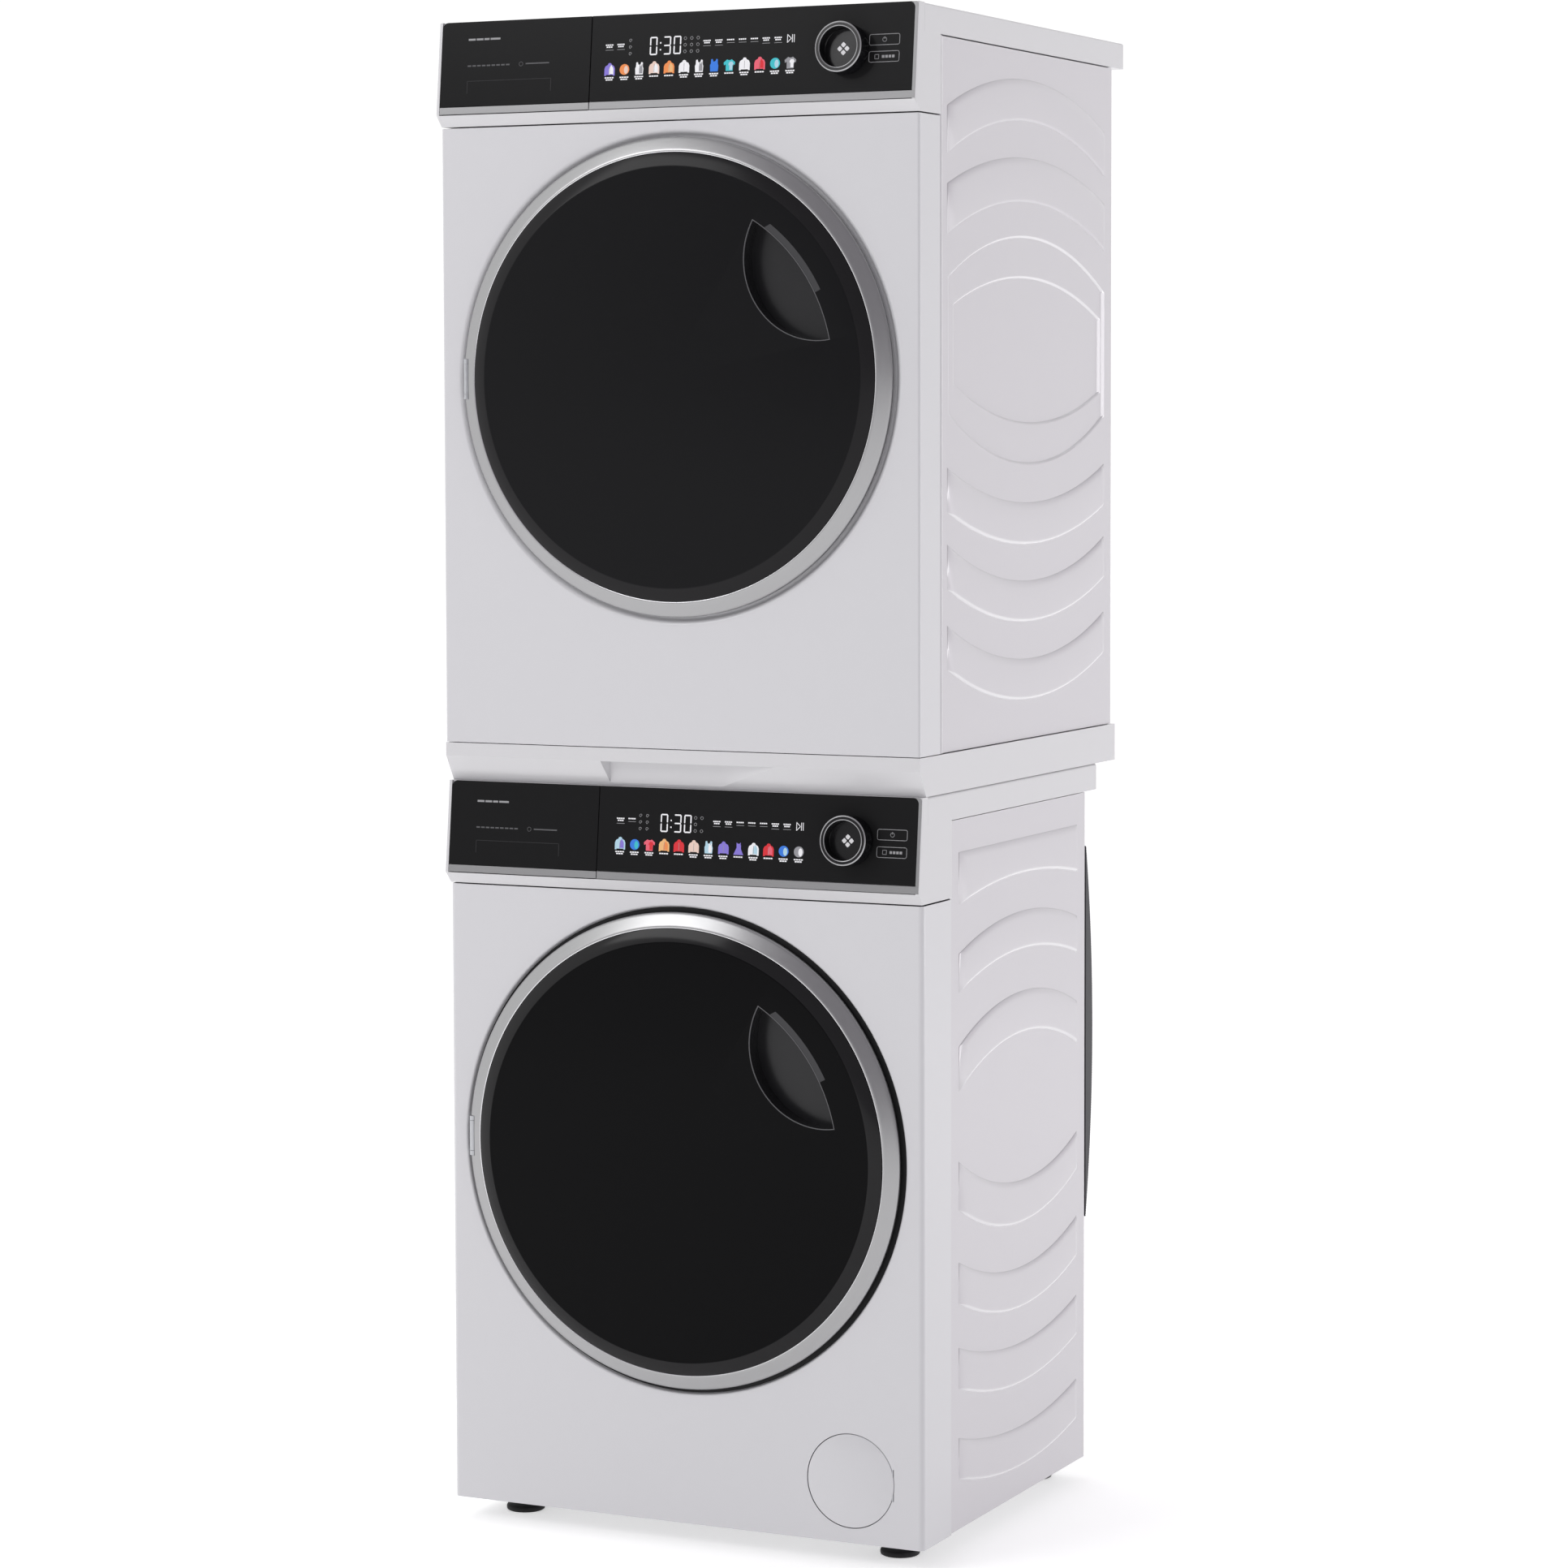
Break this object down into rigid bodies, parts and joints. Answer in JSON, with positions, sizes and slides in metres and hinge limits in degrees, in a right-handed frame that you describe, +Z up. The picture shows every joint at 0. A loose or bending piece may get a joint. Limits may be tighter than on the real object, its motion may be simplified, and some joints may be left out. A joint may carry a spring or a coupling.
{
  "type": "stacked washing machine and tumble dryer",
  "caption": "Front-loading washing machine with a heat-pump tumble dryer stacked on it; doors, drawers, knobs, drums and service flap move.",
  "frame": {"origin": "on the floor, under the middle of the stack's bounding box", "axes": "+Z up, the fronts with their doors and knobs face -Y, +X to the right seen from the front"},
  "size_m": [0.595, 0.6444, 1.724],
  "materials": {
    "white_steel": "smooth white enamel, semi-gloss",
    "grey_steel": "galvanised grey sheet",
    "white_plastic": "semi-gloss white moulding",
    "grey_plastic": "plain grey moulding",
    "dark_plastic": "dark grey moulding",
    "black_gloss": "polished black moulding",
    "black_glass": "opaque black back-printed glass",
    "clear_glass": "clear moulded glass",
    "satin_metal": "satin, brushed along the ring",
    "drum_steel": "stainless, rolled and drilled look",
    "dark_steel": "black enamelled steel",
    "zinc_steel": "zinc-plated steel",
    "cast_metal": "raw die casting",
    "weight": "rough cast",
    "grey_rubber": "smooth grey rubber",
    "black_rubber": "matt black rubber",
    "copper": "enamelled copper windings"
  },
  "bodies": {
    "cabinets": {"feet": "black_rubber", "hinge_brackets": "zinc_steel", "door_locks": "dark_plastic", "trim_strips": "satin_metal", "w_base": "grey_steel", "w_side_panels": "white_steel", "w_back_panel": "grey_steel", "w_back_cover": "dark_plastic", "w_front_panel": "white_steel", "w_top_plate": "white_plastic", "w_console": "white_plastic", "w_control_glass": "black_glass", "w_drawer_housing": "grey_plastic", "w_inlet_valve": "white_plastic", "w_gasket": "grey_rubber", "w_tub": "grey_plastic", "w_motor_stator": "copper", "w_counterweight": "weight", "w_suspension": "zinc_steel", "w_drain_pump": "grey_plastic", "d_base": "white_plastic", "d_side_panels": "white_steel", "d_back_panel": "grey_steel", "d_front_panel": "white_steel", "d_top_plate": "white_plastic", "d_console": "white_plastic", "d_control_glass": "black_glass", "d_door_seal": "black_rubber", "d_front_bulkhead": "grey_plastic", "d_belt": "black_rubber", "d_motor": "dark_steel", "d_heat_pump": "cast_metal"},
    "w_door": {"w_door_ring": "satin_metal", "w_door_cover": "black_glass", "w_door_frame": "grey_plastic", "w_door_glass": "clear_glass", "w_hinge_arm": "zinc_steel", "w_door_hook": "zinc_steel"},
    "d_door": {"d_door_ring": "satin_metal", "d_door_cover": "black_glass", "d_door_frame": "grey_plastic", "d_door_glass": "clear_glass", "d_hinge_arm": "zinc_steel", "d_door_hook": "zinc_steel"},
    "w_knob_turn": {"w_knob": "black_gloss"},
    "d_knob_turn": {"d_knob": "black_gloss"},
    "w_drawer": {"w_drawer_front": "black_gloss", "w_drawer_tray": "white_plastic"},
    "d_tank": {"d_tank_front": "black_gloss", "d_water_tank": "grey_plastic"},
    "w_drum_set": {"w_drum": "drum_steel", "w_drum_shaft": "cast_metal", "w_motor_rotor": "zinc_steel"},
    "w_flap": {"w_filter_flap": "white_plastic"},
    "w_filter": {"w_pump_filter": "dark_plastic"},
    "d_drum_set": {"d_drum": "drum_steel"},
    "d_motor_set": {"d_motor_rotor": "grey_plastic"},
    "d_roller_l": {"d_roller_left": "black_rubber"},
    "d_roller_r": {"d_roller_right": "black_rubber"},
    "d_filter": {"d_lint_filter": "dark_plastic"}
  },
  "joints": [
    {"name": "w_door_hinge", "type": "hinge", "parent": "cabinets", "child": "w_door", "pos_m": [-0.2675, -0.28834, 0.45], "axis": [0, 0, -1], "range_deg": [0, 120]},
    {"name": "d_door_hinge", "type": "hinge", "parent": "cabinets", "child": "d_door", "pos_m": [-0.2635, -0.29634, 1.32], "axis": [0, 0, -1], "range_deg": [0, 120]},
    {"name": "w_drawer_slide", "type": "slide", "parent": "cabinets", "child": "w_drawer", "axis": [0, -1, 0], "range_m": [0, 0.22]},
    {"name": "d_tank_slide", "type": "slide", "parent": "cabinets", "child": "d_tank", "axis": [0, -1, 0], "range_m": [0, 0.3]},
    {"name": "w_knob_spin", "type": "hinge", "parent": "cabinets", "child": "w_knob_turn", "pos_m": [0.213, -0.29001, 0.81027], "axis": [0, -0.9946, 0.1035], "continuous": true},
    {"name": "d_knob_spin", "type": "hinge", "parent": "cabinets", "child": "d_knob_turn", "pos_m": [0.213, -0.29801, 1.67427], "axis": [0, -0.9946, 0.1035], "continuous": true},
    {"name": "w_drum_spin", "type": "hinge", "parent": "cabinets", "child": "w_drum_set", "pos_m": [0, -0.04384, 0.45], "axis": [0, 1, 0], "continuous": true},
    {"name": "w_flap_hinge", "type": "hinge", "parent": "cabinets", "child": "w_flap", "pos_m": [0.26, -0.28264, 0.094], "axis": [0, 0, 1], "range_deg": [0, 95]},
    {"name": "w_filter_turn", "type": "hinge", "parent": "cabinets", "child": "w_filter", "pos_m": [0.209, -0.22384, 0.094], "axis": [0, 1, 0], "range_deg": [-90, 0]},
    {"name": "d_drum_spin", "type": "hinge", "parent": "cabinets", "child": "d_drum_set", "pos_m": [0, 0.00816, 1.32], "axis": [0, 1, 0], "continuous": true},
    {"name": "d_motor_spin", "type": "hinge", "parent": "cabinets", "child": "d_motor_set", "pos_m": [-0.15, 0.00816, 0.976], "axis": [0, 1, 0], "continuous": true},
    {"name": "d_roller_left_spin", "type": "hinge", "parent": "cabinets", "child": "d_roller_l", "pos_m": [-0.17, -0.19184, 1.07598], "axis": [0, 1, 0], "continuous": true},
    {"name": "d_roller_right_spin", "type": "hinge", "parent": "cabinets", "child": "d_roller_r", "pos_m": [0.17, -0.19184, 1.07598], "axis": [0, 1, 0], "continuous": true},
    {"name": "d_filter_slide", "type": "slide", "parent": "cabinets", "child": "d_filter", "axis": [0, 0, 1], "range_m": [0, 0.075]}
  ],
  "couplings": [
    {"joint": "d_motor_spin", "follows": "d_drum_spin", "ratio": 19.248},
    {"joint": "d_roller_left_spin", "follows": "d_drum_spin", "ratio": -7.4857},
    {"joint": "d_roller_right_spin", "follows": "d_drum_spin", "ratio": -7.4857}
  ]
}
